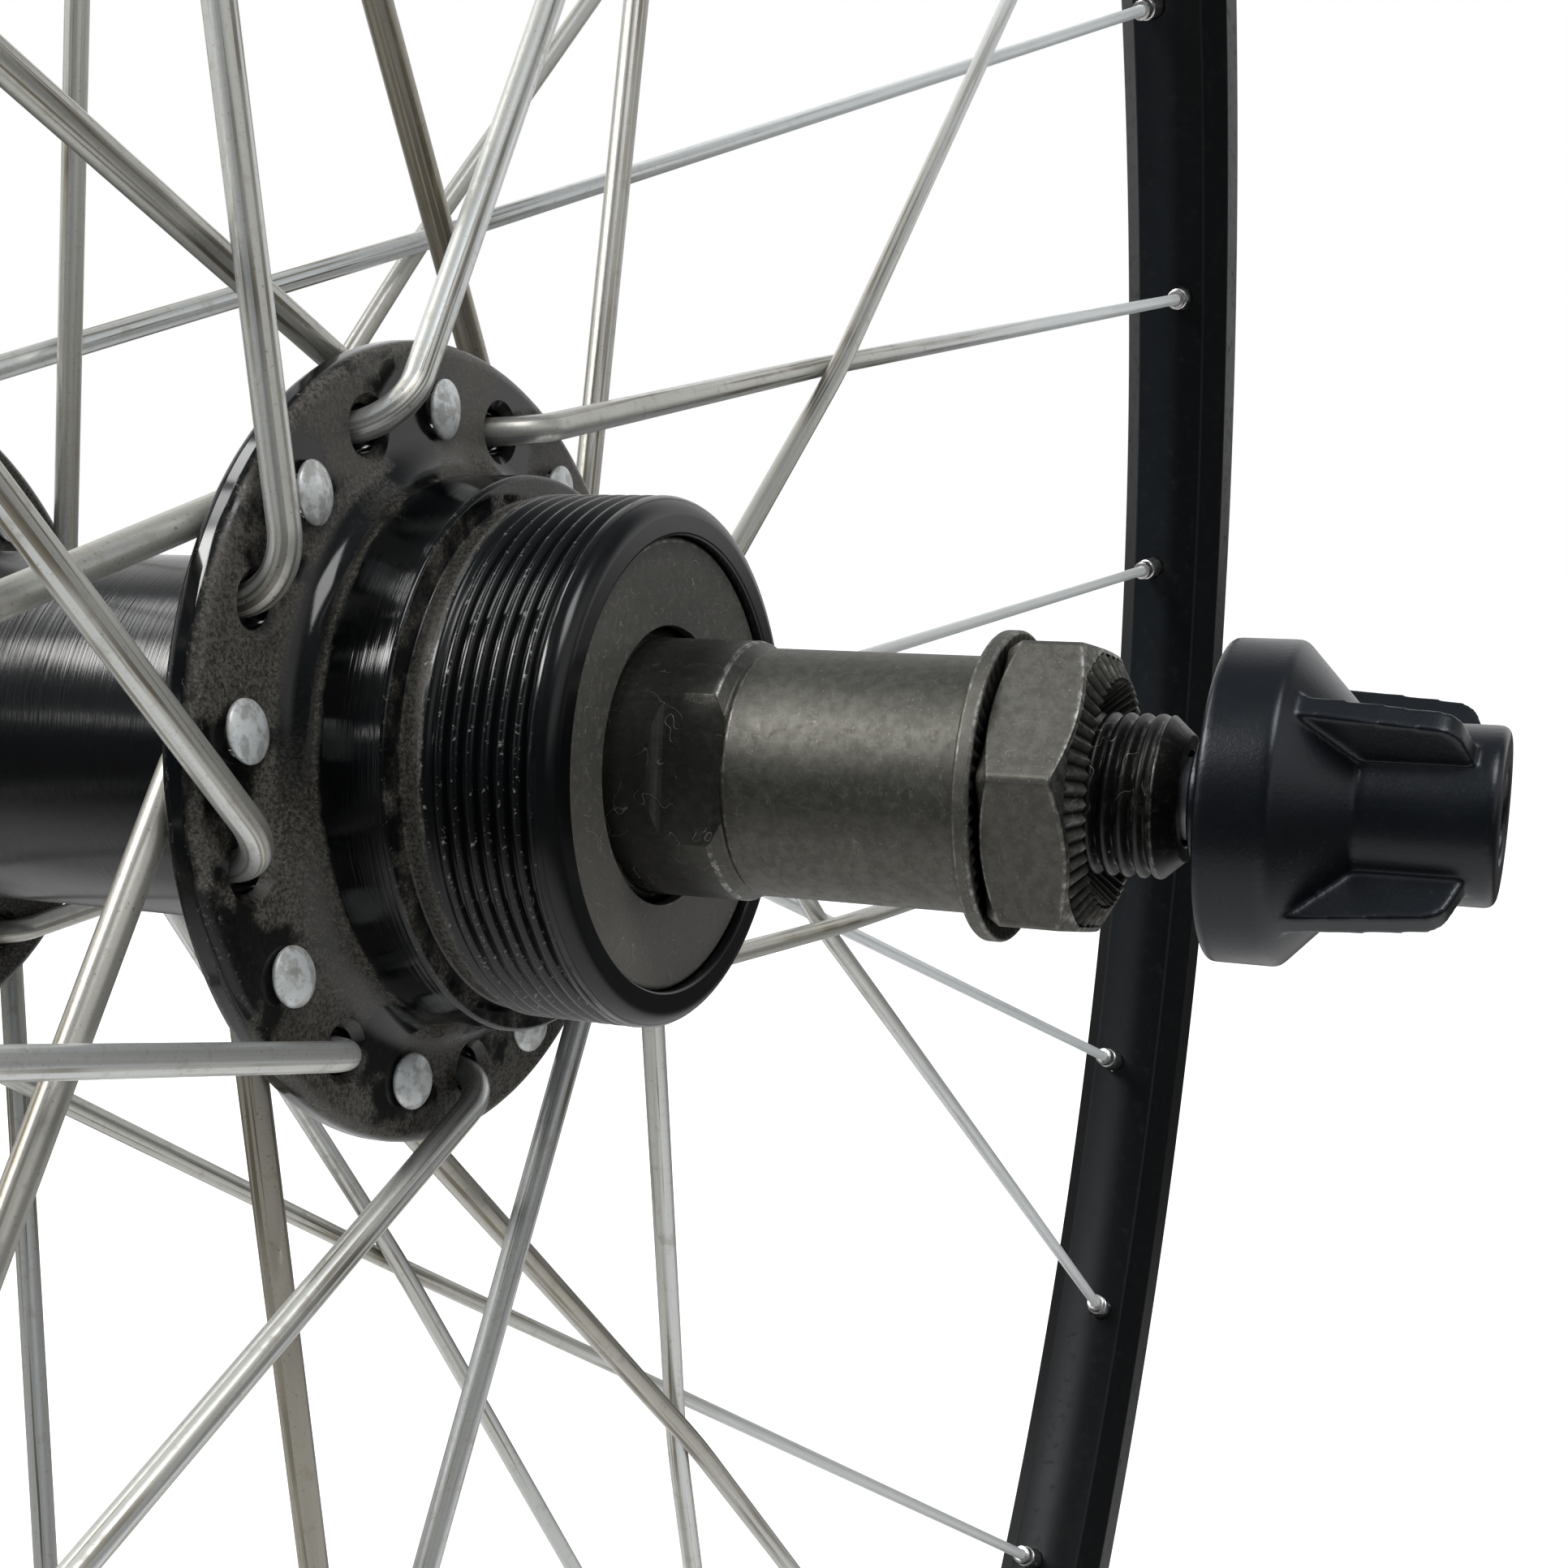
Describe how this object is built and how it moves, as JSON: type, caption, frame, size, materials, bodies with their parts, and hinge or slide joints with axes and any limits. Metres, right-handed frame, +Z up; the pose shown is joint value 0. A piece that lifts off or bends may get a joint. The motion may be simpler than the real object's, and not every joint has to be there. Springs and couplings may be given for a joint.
{
  "type": "bicycle rear wheel",
  "caption": "Rear bicycle wheel: black single-wall rim laced with crossed bent spokes to a black hub with cup-and-cone bearings, freewheel thread and quick-release skewer.",
  "frame": {"origin": "where the axle's centre line crosses the middle plane of the rim", "axes": "+Y along the axle towards the non-drive side, +X forward, +Z up"},
  "size_m": [0.6339, 0.1807, 0.634],
  "materials": {
    "rim_black": "satin black anodised",
    "hub_black": "gloss black anodised, dusty",
    "spoke_zinc": "satin zinc plating",
    "nipple_nickel": "nickel plated",
    "cap_steel": "satin dark zinc",
    "race_steel": "ground",
    "ball_steel": "polished",
    "cone_black": "black oxide",
    "axle_black": "black oxide thread",
    "gunmetal": "satin dark zinc, worn edges",
    "rod_zinc": "zinc plated",
    "nut_black": "satin moulded",
    "lever_black": "satin black"
  },
  "bodies": {
    "axle_set": {"axle": "axle_black", "drive_cone": "cone_black", "nondrive_cone": "cone_black", "drive_spacer": "gunmetal", "nondrive_spacer": "gunmetal", "drive_lock_washer": "gunmetal", "nondrive_lock_washer": "gunmetal", "drive_locknut": "gunmetal", "nondrive_locknut": "gunmetal"},
    "wheel": {"rim": "rim_black", "hub_shell": "hub_black", "drive_outbound_spokes": "spoke_zinc", "drive_inbound_spokes": "spoke_zinc", "nondrive_outbound_spokes": "spoke_zinc", "nondrive_inbound_spokes": "spoke_zinc", "drive_nipples": "nipple_nickel", "nondrive_nipples": "nipple_nickel", "drive_bearing_cup": "race_steel", "nondrive_bearing_cup": "race_steel", "drive_dust_cap": "cap_steel", "nondrive_dust_cap": "cap_steel"},
    "drive_ball_ring": {"drive_balls": "ball_steel"},
    "nondrive_ball_ring": {"nondrive_balls": "ball_steel"},
    "skewer": {"skewer_rod": "rod_zinc", "lever_seat": "nut_black", "lever_pivot": "rod_zinc"},
    "quick_release_lever": {"skewer_lever": "lever_black"},
    "quick_release_nut": {"skewer_nut": "nut_black"}
  },
  "joints": [
    {"name": "wheel_spin", "type": "hinge", "parent": "axle_set", "child": "wheel", "pos_m": [0, 0, 0], "axis": [0, 1, 0], "continuous": true},
    {"name": "drive_balls_roll", "type": "hinge", "parent": "axle_set", "child": "drive_ball_ring", "pos_m": [0, 0, 0], "axis": [0, 1, 0], "continuous": true},
    {"name": "nondrive_balls_roll", "type": "hinge", "parent": "axle_set", "child": "nondrive_ball_ring", "pos_m": [0, 0, 0], "axis": [0, 1, 0], "continuous": true},
    {"name": "skewer_turn", "type": "hinge", "parent": "axle_set", "child": "skewer", "pos_m": [0, 0, 0], "axis": [0, 1, 0], "continuous": true},
    {"name": "nut_turn", "type": "hinge", "parent": "skewer", "child": "quick_release_nut", "pos_m": [0, 0, 0], "axis": [0, 1, 0], "continuous": true},
    {"name": "lever_swing", "type": "hinge", "parent": "skewer", "child": "quick_release_lever", "pos_m": [0, 0.086, 0], "axis": [-1, 0, 0], "range_deg": [0, 180]}
  ],
  "couplings": [
    {"joint": "drive_balls_roll", "follows": "wheel_spin", "ratio": 0.6039},
    {"joint": "nondrive_balls_roll", "follows": "wheel_spin", "ratio": 0.6039}
  ]
}
